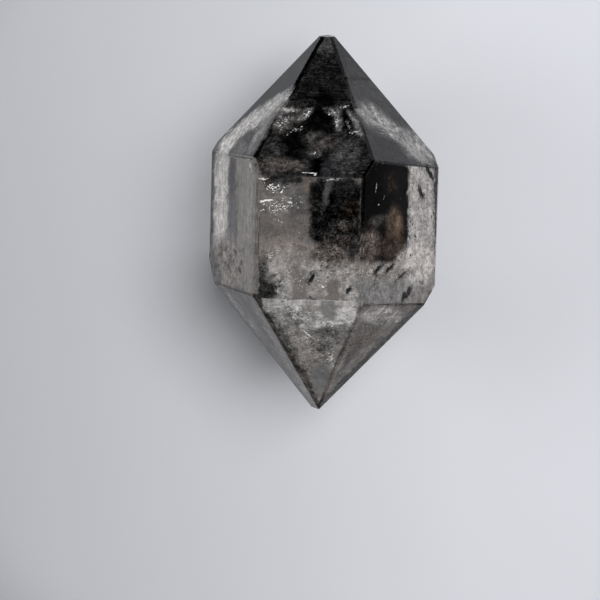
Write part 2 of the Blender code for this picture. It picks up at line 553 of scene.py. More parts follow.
DARK_VEILS_AND_PAINTED_SHADE = {
    UPPER: (
        # The grey haze over this face is partly painted shade, and the denser grey over its clear left pane
        # is painted shade: both stand in for darker surroundings seen through the stone.
        whole(0.9, 0.41, grain=0.25, warm=0.22),
        Patch((-6.9, -1.0), (1.2, 4.8), 2.6, 0.42, grain=0.2, warm=0.22, box=4),
        Patch((-4.5, -3.0), (3.2, 1.3), 1.6, 0.53, grain=0.5, warm=0.25, soft=0.6),
        Patch((-2.6, 2.4), (1.2, 1.8), 1.4, 0.34, grain=0.3, warm=0.05, soft=0.5),
        Patch((-4.2, 4.9), (2.2, 0.5), 2.2, 0.1, grain=1.3),
        Patch((-5.0, 4.1), (1.3, 0.4), 1.2, 0.22, grain=1.3),
        Patch((-1.8, 4.7), (0.5, 1.2), 1.6, 0.42, grain=0.3, warm=0.5, box=4, soft=0.2),
        Patch((-2.0, -6.7), (6.3, 2.5), 1.6, 0.54, grain=0.5, warm=0.18, box=6, soft=0.12),
        Patch((-4.4, -5.6), (1.3, 1.5), 1.8, 0.56, grain=0.5, warm=0.1, soft=0.5),
        Patch((-0.4, -5.6), (1.4, 1.3), 1.8, 0.54, grain=0.5, warm=0.1, soft=0.5),
        Patch((1.5, -3.4), (2.6, 1.5), 2.0, 0.4, grain=0.9, warm=0.3, box=3, soft=0.35),
        Patch((1.4, 1.3), (2.85, 3.7), 3.6, 0.1, grain=1.0, box=6, soft=0.1),
        Patch((2.0, -2.3), (2.4, 1.1), 2.6, 0.25, grain=1.2, warm=0.3, box=3, soft=0.5),
        Patch((1.2, -3.4), (1.9, 0.8), 2.2, 0.4, grain=1.2, warm=0.35, soft=0.6),
        Patch((3.4, -3.2), (0.7, 0.7), 2.4, 0.13, grain=1.2, warm=0.2, soft=0.6),
        Patch((0.5, 3.4), (0.35, 1.8), 2.6, 0.33, grain=0.3, turn=-14, warm=-0.4, soft=0.45),
        Patch((2.5, 4.0), (1.4, 0.8), 2.0, 0.17, grain=0.5, warm=-0.1, soft=0.6),
        Patch((3.05, 1.5), (0.8, 1.2), 2.4, 0.13, grain=1.4, warm=0.9, soft=0.6),
        Patch((2.4, -0.4), (1.4, 0.6), 2.4, 0.17, grain=1.3, turn=8, warm=0.3, soft=0.6),
        Patch((-6.7, -6.2), (0.7, 1.9), 2.4, 0.26, grain=1.1, turn=8, soft=0.5),
        Patch((-6.2, -7.9), (1.2, 1.0), 2.4, 0.12, grain=1.2, box=3, soft=0.25),
        Patch((-5.1, -6.9), (0.5, 1.2), 1.8, 0.36, grain=1.3, turn=25, soft=0.6),
        Patch((-1.0, -8.55), (4.6, 0.35), 1.8, 0.44, grain=0.4, warm=0.15, box=4, soft=0.35),
        Patch((-2.6, -7.0), (0.8, 1.8), 2.0, 0.47, grain=0.15, warm=0.2, box=6, soft=0.12),
        Patch((1.1, -7.8), (0.6, 1.35), 2.0, 0.46, grain=0.15, warm=0.2, box=6, soft=0.15),
        Patch((3.3, -6.6), (0.8, 2.0), 1.8, 0.55, grain=0.7, warm=0.1, soft=0.4),
        Patch((-1.3, -6.2), (0.3, 0.8), 3.0, 0.06, grain=0.5, turn=-25),
        Patch((2.9, -7.6), (0.25, 0.6), 2.0, 0.15, turn=-20),
        Patch((-1.4, -8.4), (0.3, 0.35), 1.6, 0.15),
    ),
    UPPER_RIGHT: (
        whole(1.2, 0.52, grain=0.4, warm=0.1),
        # Painted shade: a dark strip along the right outline, where the glass edge shows dark.
        Patch((12.9, 1.0), (0.35, 9.0), 2.2, 0.28, grain=0.4, box=6),
        Patch((6.9, 1.4), (2.75, 5.7), 4.4, 0.03, grain=0.2, warm=0.8, box=7, soft=0.09),
        Patch((7.6, 4.4), (1.0, 1.4), 3.4, 0.13, grain=0.7, warm=1.0, soft=0.5),
        Patch((6.3, 0.2), (1.4, 0.7), 2.2, 0.2, grain=1.0, turn=15, warm=0.2, soft=0.5),
        Patch((5.4, -2.6), (1.25, 1.9), 2.2, 0.36, grain=0.9, warm=0.4, turn=-8, soft=0.4),
        Patch((8.1, -0.3), (1.0, 2.1), 2.8, 0.37, grain=0.7, warm=0.9, soft=0.5),
        Patch((7.8, -2.8), (1.5, 1.3), 2.8, 0.27, grain=0.7, warm=0.9, soft=0.35),
        Patch((7.0, -5.4), (3.0, 0.9), 1.6, 0.55, grain=0.9, warm=0.25, soft=0.3),
        Patch((11.9, 5.8), (0.22, 1.3), 2.4, 0.12, grain=0.4, turn=22),
        Patch((11.0, 3.3), (0.22, 0.9), 2.6, 0.1, grain=0.4, turn=15),
        Patch((6.1, -5.3), (0.8, 0.22), 2.6, 0.12, turn=45),
        Patch((7.4, -5.2), (0.8, 0.22), 2.6, 0.12, turn=40),
        Patch((8.9, -5.9), (0.8, 0.16), 2.0, 0.16, turn=42),
        Patch((6.6, -8.0), (2.8, 1.3), 1.9, 0.51, grain=0.4, box=6, soft=0.15),
        Patch((9.4, -8.0), (1.3, 0.25), 1.6, 0.18, turn=60),
    ),
    UPPER_LEFT: (
        whole(0.96, 0.53, grain=0.4, along=0.8, warm=0.1),
        # Painted shade: a dark strip along the left outline, where the glass edge shows dark.
        Patch((-12.75, 0.0), (0.45, 11.0), 2.24, 0.16, grain=0.3, turn=-1.5, box=6),
        Patch((-10.1, 2.4), (0.55, 6.4), 1.6, 0.43, grain=0.3, warm=-0.3, along=1.0, box=4, soft=0.3),
        Patch((-10.2, 5.4), (0.5, 2.0), 1.6, 0.26, grain=0.4, warm=-0.3, along=1.0, soft=0.5),
        Patch((-8.7, 0.0), (0.9, 9.0), 1.44, 0.58, grain=0.3, warm=0.15, along=1.0, box=5, soft=0.2),
        Patch((-8.05, 0.0), (0.2, 8.0), 1.6, 0.62, grain=0.4, warm=0.15, along=1.0, box=5, soft=0.5),
        Patch((-10.8, -4.8), (1.6, 3.2), 1.28, 0.57, grain=1.0, warm=0.3, along=0.4),
        Patch((-11.4, -3.1), (0.25, 0.9), 1.44, 0.28, warm=1.0),
        Patch((-11.9, -6.0), (0.5, 2.6), 1.6, 0.3, grain=0.8, along=0.6, turn=10, soft=0.5),
    ),
    FAR_UPPER: (
        # Near black: partly the dark inclusions, partly painted shade where this face shows the dark room
        # reflected inside the stone.
        whole(3.4, 0.15, grain=0.8, cross=0.8),
        Patch((0.3, 20.4), (1.8, 1.5), 2.2, 0.34, grain=0.7, cross=0.3),
        Patch((-3.9, 11.7), (2.1, 1.3), 1.6, 0.22, grain=1.8, warm=0.3, soft=0.4),
        Patch((-4.3, 10.5), (1.9, 0.9), 2.0, 0.19, grain=1.7, warm=0.3, soft=0.5),
        Patch((-5.9, 8.2), (1.9, 1.4), 2.6, 0.21, grain=1.8, soft=0.5),
        Patch((1.6, 12.3), (1.1, 0.9), 1.5, 0.27, grain=1.8, soft=0.5),
        Patch((3.7, 11.0), (0.7, 1.3), 1.4, 0.3, grain=1.8, turn=20, soft=0.5),
        Patch((-0.3, 9.1), (1.9, 1.2), 2.2, 0.23, grain=1.4, warm=0.4, soft=0.5),
        Patch((2.6, 7.6), (1.5, 1.9), 2.2, 0.22, grain=1.4, soft=0.5),
        Patch((-4.7, 6.4), (2.9, 0.8), 1.7, 0.31, grain=0.8, warm=0.3, cross=0.5, soft=0.3),
        Patch((0.5, 13.7), (0.9, 1.0), 3.6, 0.04, grain=0.4, soft=0.6),
        Patch((-0.3, 11.7), (1.5, 1.7), 3.6, 0.05, grain=0.5, soft=0.5),
        Patch((-3.1, 9.0), (1.5, 1.7), 3.6, 0.07, grain=0.8, turn=-25, soft=0.5),
        Patch((2.7, 11.4), (0.5, 1.2), 3.6, 0.01, grain=0.4, turn=20, soft=0.3),
        Patch((0.6, 6.1), (0.55, 1.5), 1.7, 0.22, grain=0.4, turn=-15, warm=-0.6, soft=0.3),
        Patch((-0.6, 6.6), (0.4, 1.1), 3.4, 0.03, grain=0.6, turn=-10, soft=0.4),
    ),
    FAR_UPPER_RIGHT: (
        # Bluish grey: partly the veil's own colour, partly a painted reflection of bluish light on this
        # face.
        whole(2.2, 0.2, grain=0.2, warm=-0.35),
        Patch((7.0, 12.7), (5.5, 3.1), 2.1, 0.26, grain=0.2, turn=-48, warm=-0.2, box=4),
        Patch((3.6, 16.1), (1.8, 0.16), 3.0, 0.08, grain=0.3, box=4),
        Patch((5.6, 11.8), (1.9, 1.0), 2.0, 0.47, grain=1.0, turn=-40, soft=0.6),
        Patch((7.9, 10.1), (2.3, 0.95), 2.0, 0.47, grain=1.2, turn=-42, soft=0.6),
        Patch((10.6, 8.5), (2.3, 1.4), 2.0, 0.51, grain=1.1, turn=-45, soft=0.45),
        # Bluish grey again: partly the veil's own colour, partly a painted reflection of bluish light.
        Patch((6.9, 8.2), (2.2, 1.3), 2.2, 0.22, grain=0.15, warm=-0.35, box=4, soft=0.25),
    ),
    FAR_UPPER_LEFT: (
        whole(2.6, 0.06, grain=0.2),
        Patch((-7.9, 11.1), (4.8, 0.95), 2.4, 0.58, grain=1.0, turn=38, warm=0.1, box=3, soft=0.3),
        Patch((-10.6, 8.6), (1.7, 0.6), 1.6, 0.58, grain=0.8, turn=60, warm=0.1),
        Patch((-6.8, 10.4), (2.9, 0.45), 1.8, 0.48, grain=0.9, turn=60, soft=0.4),
        Patch((-8.5, 9.9), (2.4, 0.42), 2.4, 0.2, grain=0.8, turn=50, soft=0.5),
        Patch((-9.2, 8.3), (1.1, 0.8), 1.8, 0.38, grain=1.0, turn=50, soft=0.6),
        Patch((-7.4, 8.9), (2.0, 0.25), 2.0, 0.36, grain=0.8, turn=55, soft=0.5),
    ),
    NEAR_UPPER: (
        whole(1.52, 0.6, grain=0.5, warm=0.18),
        Patch((-5.6, -10.0), (1.6, 0.8), 1.6, 0.68, grain=0.8, warm=0.1, soft=0.5),
        Patch((-3.9, -9.6), (1.9, 0.7), 1.52, 0.76, grain=0.8, soft=0.4),
        Patch((-3.9, -10.8), (1.3, 0.8), 1.52, 0.5, grain=1.2, turn=-30, soft=0.6),
        Patch((-1.3, -11.0), (1.4, 1.0), 1.52, 0.73, grain=0.9, soft=0.5),
        Patch((2.8, -10.4), (1.5, 1.3), 1.6, 0.84, grain=0.6, soft=0.4),
        # Painted highlight: a pale strip along the edge with the upper face.
        Patch((-1.6, -9.05), (5.4, 0.28), 1.6, 0.8, grain=0.5, soft=0.6, box=4),
        Patch((0.6, -9.9), (0.85, 0.9), 1.76, 0.56, grain=0.12, box=6, soft=0.15),
        Patch((0.5, -12.4), (2.2, 0.5), 1.6, 0.39, grain=1.0, turn=3, soft=0.5),
        Patch((2.6, -12.5), (1.2, 1.2), 1.52, 0.5, grain=0.7, soft=0.6),
        Patch((0.4, -13.9), (0.9, 0.9), 1.52, 0.42, grain=1.2, soft=0.6),
        Patch((-1.9, -13.4), (1.3, 1.2), 1.44, 0.61, grain=0.9, warm=0.15, soft=0.5),
        Patch((0.5, -15.8), (1.4, 1.1), 1.52, 0.59, grain=0.9, warm=0.15, soft=0.5),
        Patch((-0.1, -17.4), (1.3, 1.7), 1.6, 0.54, grain=0.15, warm=-0.05, soft=0.3),
        Patch((-5.2, -11.6), (0.6, 1.9), 1.6, 0.45, grain=1.1, turn=35, soft=0.6),
        Patch((-3.8, -14.4), (0.6, 2.3), 1.6, 0.35, grain=1.2, turn=28, soft=0.6),
        Patch((-2.3, -17.4), (0.5, 2.2), 1.76, 0.28, grain=1.1, turn=30, soft=0.6),
        Patch((0.9, -15.4), (0.16, 0.7), 1.44, 0.73, turn=-30, soft=0.6),
    ),
    NEAR_UPPER_RIGHT: (
        whole(1.23, 0.4, grain=0.5, warm=0.35),
        Patch((6.4, -10.3), (2.2, 1.0), 1.3, 0.56, grain=0.6, warm=0.1, soft=0.4),
        Patch((5.8, -11.7), (2.2, 0.5), 1.3, 0.3, grain=0.9, turn=35, warm=0.3, soft=0.6),
        Patch((4.6, -13.2), (2.0, 0.9), 1.43, 0.38, grain=0.7, turn=42, warm=0.7, soft=0.5),
        Patch((3.1, -15.6), (1.2, 2.4), 1.43, 0.32, grain=0.5, turn=-35, warm=0.5, soft=0.4),
        Patch((1.6, -16.6), (0.16, 2.6), 1.3, 0.52, grain=0.5, turn=-28, warm=0.2, soft=0.6),
        Patch((3.0, -16.3), (4.4, 0.35), 1.23, 0.5, grain=0.5, turn=45, warm=0.2, soft=0.5),
        # Painted shade: a dark strip along the lower right outline, where the glass edge shows dark.
        Patch((5.9, -14.25), (9.2, 0.18), 1.69, 0.16, grain=0.4, turn=44.5, box=6, soft=0.5),
        Patch((6.9, -9.7), (0.3, 1.0), 1.23, 0.36, turn=-25, soft=0.5),
    ),
    NEAR_UPPER_LEFT: (
        whole(2.6, 0.22, grain=0.8, warm=0.5),
        Patch((-7.3, -12.2), (6.0, 0.45), 2.2, 0.32, grain=0.9, turn=-50, warm=0.4, soft=0.6),
        Patch((-6.0, -12.6), (4.4, 0.35), 2.4, 0.1, grain=0.9, turn=-52, warm=0.4, soft=0.6),
        Patch((-9.0, -10.0), (3.2, 0.22), 2.0, 0.42, grain=0.9, turn=-52, warm=0.2, soft=0.5),
        Patch((-9.6, -8.9), (2.2, 0.5), 1.9, 0.3, grain=1.0, turn=-50, warm=0.3, soft=0.5),
        # Painted shade: a dark strip along the lower left outline, where the glass edge shows dark.
        Patch((-6.9, -14.3), (9.5, 0.42), 2.6, 0.08, grain=0.6, turn=-49.6, box=6, soft=0.3),
        Patch((-4.5, -14.7), (7.4, 0.35), 2.4, 0.44, grain=0.9, turn=-59, warm=0.3, box=4, soft=0.5),
    ),
}

# Veils under the lower faces; their dark strips at the outline are painted shade.
UNDER_VEILS_AND_PAINTED_SHADE = {
    LOWER: (whole(0.12, 0.4, grain=1.0),),
    LOWER_RIGHT: (
        whole(0.25, 0.45, grain=1.1, along=0.4),
        # Painted shade: a dark strip at the right outline, where the glass edge shows dark.
        Patch((13.4, 0.0), (1.8, 14.0), 2.2, 0.2, grain=0.9, box=6),
    ),
    LOWER_LEFT: (
        whole(0.25, 0.45, grain=1.1, along=0.4),
        # Painted shade: a dark strip at the left outline, where the glass edge shows dark.
        Patch((-13.4, 0.0), (1.8, 14.0), 2.2, 0.2, grain=0.9, box=6),
    ),
    FAR_LOWER: (whole(0.3, 0.2, grain=1.2, cross=0.5),),
    FAR_LOWER_RIGHT: (whole(0.35, 0.26, grain=1.3),),
    FAR_LOWER_LEFT: (whole(0.35, 0.26, grain=1.3),),
    NEAR_LOWER: (whole(0.7, 0.42, grain=1.2, warm=0.2),),
    NEAR_LOWER_RIGHT: (whole(1.1, 0.4, grain=1.2, warm=0.3),),
    NEAR_LOWER_LEFT: (whole(1.8, 0.34, grain=1.2, warm=0.3),),
}

MILKY_VEILS = {
    UPPER: (
        whole(0.03, 0.55, grain=0.8, wisp=0.05, warm=0.1),
        Patch((-4.7, 2.6), (2.2, 2.0), 0.05, 0.62, grain=1.2, wisp=0.25),
        Patch((-3.4, -3.9), (3.0, 0.9), 0.08, 0.6, grain=1.2, wisp=0.3),
        Patch((-2.0, -6.7), (5.6, 2.2), 0.1, 0.64, grain=1.2, warm=0.1, wisp=0.25, box=5, soft=0.2),
        Patch((-4.3, -7.7), (1.0, 1.2), 0.25, 0.6, grain=0.9, wisp=0.35),
        Patch((3.3, -7.9), (0.8, 1.2), 0.2, 0.6, grain=0.9, wisp=0.35),
        Patch((2.7, -5.1), (0.9, 0.8), 0.15, 0.6, grain=0.9, wisp=0.35),
        Patch((-0.6, -5.5), (1.1, 0.8), 0.15, 0.6, grain=0.9, wisp=0.35),
        Patch((-6.6, -6.9), (1.3, 2.2), 0.03, 0.5, grain=1.2, wisp=0.15, turn=8),
        Patch((-2.6, -7.0), (0.8, 1.7), 0.02, 0.55, grain=0.5, box=6, soft=0.15),
        Patch((-1.25, -6.25), (0.22, 0.6), 2.4, 0.12, grain=0.4, turn=-27, soft=0.35),
        Patch((2.9, -7.6), (0.16, 0.5), 2.0, 0.16, grain=0.4, turn=-20, soft=0.4),
        Patch((1.1, -7.8), (0.6, 1.3), 0.02, 0.55, grain=0.5, box=6, soft=0.15),
        Patch((1.6, 0.9), (2.8, 3.7), 0.0, 0.5, wisp=0.0, box=7, soft=0.1),
    ),
    UPPER_RIGHT: (
        whole(0.0, 0.6),
        Patch((11.0, 1.0), (1.35, 7.0), 0.8, 0.66, grain=0.7, warm=0.05, along=0.3, wisp=0.3, box=5,
            soft=0.15),
        Patch((10.6, -4.6), (2.0, 2.2), 0.9, 0.74, grain=0.6, warm=0.1, wisp=0.1),
        Patch((7.0, -5.6), (3.0, 0.9), 0.1, 0.6, grain=1.5, wisp=0.5, soft=0.3),
        Patch((6.2, 0.4), (1.2, 0.3), 0.05, 0.4, grain=1.5, wisp=0.15, turn=20),
        Patch((11.85, 5.8), (0.14, 1.1), 2.4, 0.2, grain=0.4, turn=26, soft=0.5),
        Patch((11.0, 3.3), (0.14, 0.8), 2.2, 0.2, grain=0.4, turn=18, soft=0.5),
    ),
    UPPER_LEFT: (
        whole(0.05, 0.6, grain=1.0, along=0.8),
        Patch((-11.35, 2.9), (0.72, 5.2), 2.6, 0.84, grain=0.6, warm=0.05, along=0.5, turn=-1.5, box=4,
            soft=0.3),
        Patch((-8.4, 0.0), (0.5, 9.0), 0.15, 0.62, grain=1.2, along=1.0, box=5, soft=0.3),
        Patch((-10.4, -5.0), (2.2, 3.4), 0.15, 0.6, grain=1.6, warm=0.1, along=0.4, wisp=0.4),
    ),
    FAR_UPPER: (
        whole(0.0, 0.6, grain=1.5),
        Patch((-4.3, 12.7), (1.7, 0.22), 0.35, 0.58, grain=1.8, wisp=1.0, turn=-4, soft=0.5),
        Patch((-2.0, 12.1), (0.9, 0.35), 0.25, 0.56, grain=1.8, wisp=1.0, turn=40, soft=0.5),
        Patch((-4.6, 11.4), (1.1, 1.0), 0.15, 0.54, grain=1.8, wisp=0.9, turn=50, soft=0.5),
        Patch((1.2, 12.4), (0.9, 0.35), 0.25, 0.55, grain=1.8, wisp=1.0, turn=-20, soft=0.5),
        Patch((1.8, 11.2), (0.4, 0.9), 0.2, 0.55, grain=1.8, wisp=0.9, soft=0.5),
        Patch((3.3, 11.8), (0.8, 0.25), 0.25, 0.55, grain=1.8, wisp=0.9, turn=-50, soft=0.5),
        Patch((4.0, 10.6), (0.35, 1.0), 0.2, 0.55, grain=1.8, wisp=0.9, turn=20, soft=0.5),
        Patch((-0.3, 9.1), (1.6, 0.8), 0.08, 0.42, grain=1.6, wisp=0.2, soft=0.5),
        Patch((-0.8, 7.7), (0.7, 0.35), 0.15, 0.5, grain=1.8, wisp=0.6, soft=0.5),
        Patch((2.6, 7.6), (1.4, 1.6), 0.06, 0.42, grain=1.6, wisp=0.2, soft=0.5),
    ),
    FAR_UPPER_RIGHT: (
        whole(0.0, 0.6),
        Patch((5.4, 12.2), (1.4, 0.8), 0.5, 0.62, grain=1.1, turn=-38, soft=0.6),
        Patch((7.8, 10.3), (2.2, 0.6), 0.6, 0.64, grain=1.1, turn=-42, soft=0.6),
        Patch((10.5, 8.4), (2.3, 0.9), 0.4, 0.62, grain=1.0, turn=-45, soft=0.5),
    ),
    FAR_UPPER_LEFT: (
        whole(0.0, 0.6),
        Patch((-7.5, 11.7), (4.4, 0.65), 1.5, 0.84, grain=0.9, turn=38, soft=0.4),
        Patch((-10.6, 8.8), (1.8, 0.6), 1.8, 0.9, grain=0.7, turn=58, soft=0.4),
        Patch((-6.8, 10.5), (2.6, 0.25), 0.5, 0.66, grain=1.2, turn=60, soft=0.5),
    ),
    NEAR_UPPER: (
        whole(0.06, 0.58, grain=1.4, wisp=0.2),
        Patch((-5.2, -9.6), (1.6, 0.6), 0.25, 0.68, grain=1.8, wisp=0.9, soft=0.4),
        Patch((-3.8, -10.7), (1.4, 0.8), 0.2, 0.66, grain=1.8, wisp=0.9, soft=0.4),
        Patch((-0.6, -10.8), (1.0, 0.9), 0.25, 0.7, grain=1.8, wisp=0.8, soft=0.4),
        Patch((2.9, -10.5), (1.3, 1.2), 0.25, 0.7, grain=1.4, wisp=0.6, soft=0.4),
        Patch((0.8, -11.3), (1.4, 0.4), 0.25, 0.74, grain=1.8, wisp=1.1, soft=0.5),
        Patch((-2.0, -12.9), (1.5, 0.8), 0.12, 0.6, grain=1.8, wisp=0.8, turn=-30, soft=0.5),
        Patch((-0.1, -17.6), (1.2, 1.6), 0.02, 0.55, grain=0.5, soft=0.3),
    ),
    NEAR_UPPER_RIGHT: (
        whole(0.05, 0.55),
        Patch((6.8, -10.5), (2.1, 1.0), 0.5, 0.66, grain=1.4, warm=0.1, wisp=0.4),
    ),
    NEAR_UPPER_LEFT: (
        whole(0.04, 0.55),
        Patch((-9.1, -10.0), (3.2, 0.15), 0.6, 0.66, turn=-52),
        Patch((-7.7, -11.4), (3.2, 0.2), 0.2, 0.58, turn=-50),
    ),
}

VEIL_PAINTS = ("dense", "tone", "grain", "warm", "along", "cross", "wisp")


def paint_veil(corners, face, patches, seed):
    """The veil's paint at each corner. Each patch goes over the ones before it."""
    across, above = seen_at(corners, face)
    across = across + WOBBLE_MM * drift(corners, WOBBLE_GRAIN_MM, seed)
    above = above + WOBBLE_MM * drift(corners, WOBBLE_GRAIN_MM, seed + 50)
    total = {name: np.zeros(len(corners)) for name in VEIL_PAINTS}
    for patch in patches:
        share = patch.share(across, above)
        for name, value in patch.paint.items():
            total[name] += share * (value - total[name])
    return total


def veils_piece(name, veils, depth, ripple_mm, material, seed, shadow):
    """One plain mesh of thin closed sheets, one under each face that veils names. Sheets under
    the upper faces, which carry the drawing, have the finer grid."""
    all_corners = []
    all_polygons = []
    painted = {label: [] for label in VEIL_PAINTS}
    start = 0
    for number, (way, patches) in enumerate(veils.items()):
        face = face_towards(way)
        sheet = cut_sheet(face, depth, UPPER_STEP_MM if way[2] > 0.0 else LOWER_STEP_MM)
        corners, polygons = thin_slab(sheet, face.normal, ripple_mm, seed)
        sheet.free()
        for label, values in paint_veil(corners, face, patches, seed + number).items():
            painted[label].append(values)
        all_corners.append(corners)
        all_polygons.extend([[index + start for index in ring] for ring in polygons])
        start += len(corners)
    mesh = bpy.data.meshes.new(name)
    mesh.from_pydata((np.vstack(all_corners) * MM).tolist(), [], all_polygons)
    for label, values in painted.items():
        store_on_points(mesh, label, "FLOAT", np.concatenate(values))
    mesh.materials.append(material)
    mesh.shade_smooth()
    piece = add_to_scene(name, mesh)
    piece.visible_shadow = shadow
    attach(piece, "root")


# Flakes from points, with Geometry Nodes


def flake_tree(name, sides, material):
    """Geometry Nodes that put one small closed flake on each point, turned and stretched as the
    point says."""
    tree = bpy.data.node_groups.new(name, "GeometryNodeTree")
    sockets = tree.interface
    sockets.new_socket("Points", in_out="INPUT", socket_type="NodeSocketGeometry")
    sockets.new_socket("Flake Width", in_out="INPUT", socket_type="NodeSocketFloat")
    sockets.new_socket("Flake Thickness", in_out="INPUT", socket_type="NodeSocketFloat")
    sockets.new_socket("Flakes", in_out="OUTPUT", socket_type="NodeSocketGeometry")
    start = tree.nodes.new("NodeGroupInput")
    end = tree.nodes.new("NodeGroupOutput")
    radius = maths(tree, "MULTIPLY", start.outputs["Flake Width"], 0.5)
    flake = add_node(tree, "GeometryNodeMeshCone", fill_type="NGON", Vertices=sides)
    turn = add_node(tree, "GeometryNodeInputNamedAttribute", data_type="FLOAT_VECTOR", Name="turn")
    stretch = add_node(tree, "GeometryNodeInputNamedAttribute", data_type="FLOAT_VECTOR", Name="stretch")
    place = tree.nodes.new("GeometryNodeInstanceOnPoints")
    real = tree.nodes.new("GeometryNodeRealizeInstances")
    coat = add_node(tree, "GeometryNodeSetMaterial", Material=material)
    for source, target in (
        (radius, flake.inputs["Radius Bottom"]),
        (start.outputs["Flake Thickness"], flake.inputs["Depth"]),
        (start.outputs["Points"], place.inputs["Points"]),
        (flake.outputs["Mesh"], place.inputs["Instance"]),
        (turn.outputs["Attribute"], place.inputs["Rotation"]),
        (stretch.outputs["Attribute"], place.inputs["Scale"]),
        (place.outputs["Instances"], real.inputs["Geometry"]),
        (real.outputs["Geometry"], coat.inputs["Geometry"]),
        (coat.outputs["Geometry"], end.inputs["Flakes"]),
    ):
        tree.links.new(source, target)
    return tree


class FlakePoints:
    """Where flakes go, in millimetres, with each one's turn, stretch and tone."""

    def __init__(self):
        self.places = []
        self.turns = []
        self.stretches = []
        self.tones = []

    def add(self, places, turns, stretches, tones):
        self.places.append(places)
        self.turns.append(turns)
        self.stretches.append(stretches)
        self.tones.append(tones)

    def add_loose(self, draws, places, smallest, largest, tones):
        """Flakes turned every way, of sizes between two shares of the flake width."""
        turns = draws.uniform(0.0, 2.0 * math.pi, size=(len(places), 3))
        sizes = draws.uniform(smallest, largest, size=(len(places), 1))
        self.add(places, turns, np.repeat(sizes, 3, axis=1), tones)


def flakes_piece(name, flakes, width, thickness, sides, material):
    """Turns points into one plain mesh piece of closed flakes that rides on the stone."""
    points = bpy.data.meshes.new(name + "_points")
    points.from_pydata((np.vstack(flakes.places) * MM).tolist(), [], [])
    store_on_points(points, "turn", "FLOAT_VECTOR", np.vstack(flakes.turns))
    store_on_points(points, "stretch", "FLOAT_VECTOR", np.vstack(flakes.stretches))
    store_on_points(points, "tone", "FLOAT", np.concatenate(flakes.tones))
    holder = add_to_scene(name + "_points", points)
    tree = flake_tree(name + "_tree", sides, material)
    nodes = holder.modifiers.new("flakes", "NODES")
    nodes.node_group = tree
    wanted = {"Flake Width": width, "Flake Thickness": thickness}
    for item in tree.interface.items_tree:
        if item.name in wanted and item.in_out == "INPUT":
            nodes[item.identifier] = wanted[item.name]
    bpy.context.view_layer.update()
    graph = bpy.context.evaluated_depsgraph_get()
    made = bpy.data.meshes.new_from_object(
        holder.evaluated_get(graph), preserve_all_data_layers=True, depsgraph=graph
    )
    made.name = name
    holder.modifiers.remove(nodes)
    bpy.data.objects.remove(holder, do_unlink=True)
    piece = add_to_scene(name, made)
    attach(piece, "root")
    return piece


class Cluster:
    """A cluster of flakes under a face, where the picture shows it: its middle in millimetres
    right of and above the crystal's middle, its half width and height, its turn in degrees, how
    many flakes it has, how deep they lie, how long they are and how slim, how bright, and how many
    degrees they stray from the turn."""

    def __init__(self, way, at, half, count, turn=0.0, depth=(0.2, 0.65), long=(0.10, 0.35), slim=0.5,
                 tone=(0.3, 1.0), strewn=40.0):
        self.way = way
        self.at = at
        self.half = half
        self.count = count
        self.turn = turn
        self.depth = depth
        self.long = long
        self.slim = slim
        self.tone = tone
        self.strewn = strewn


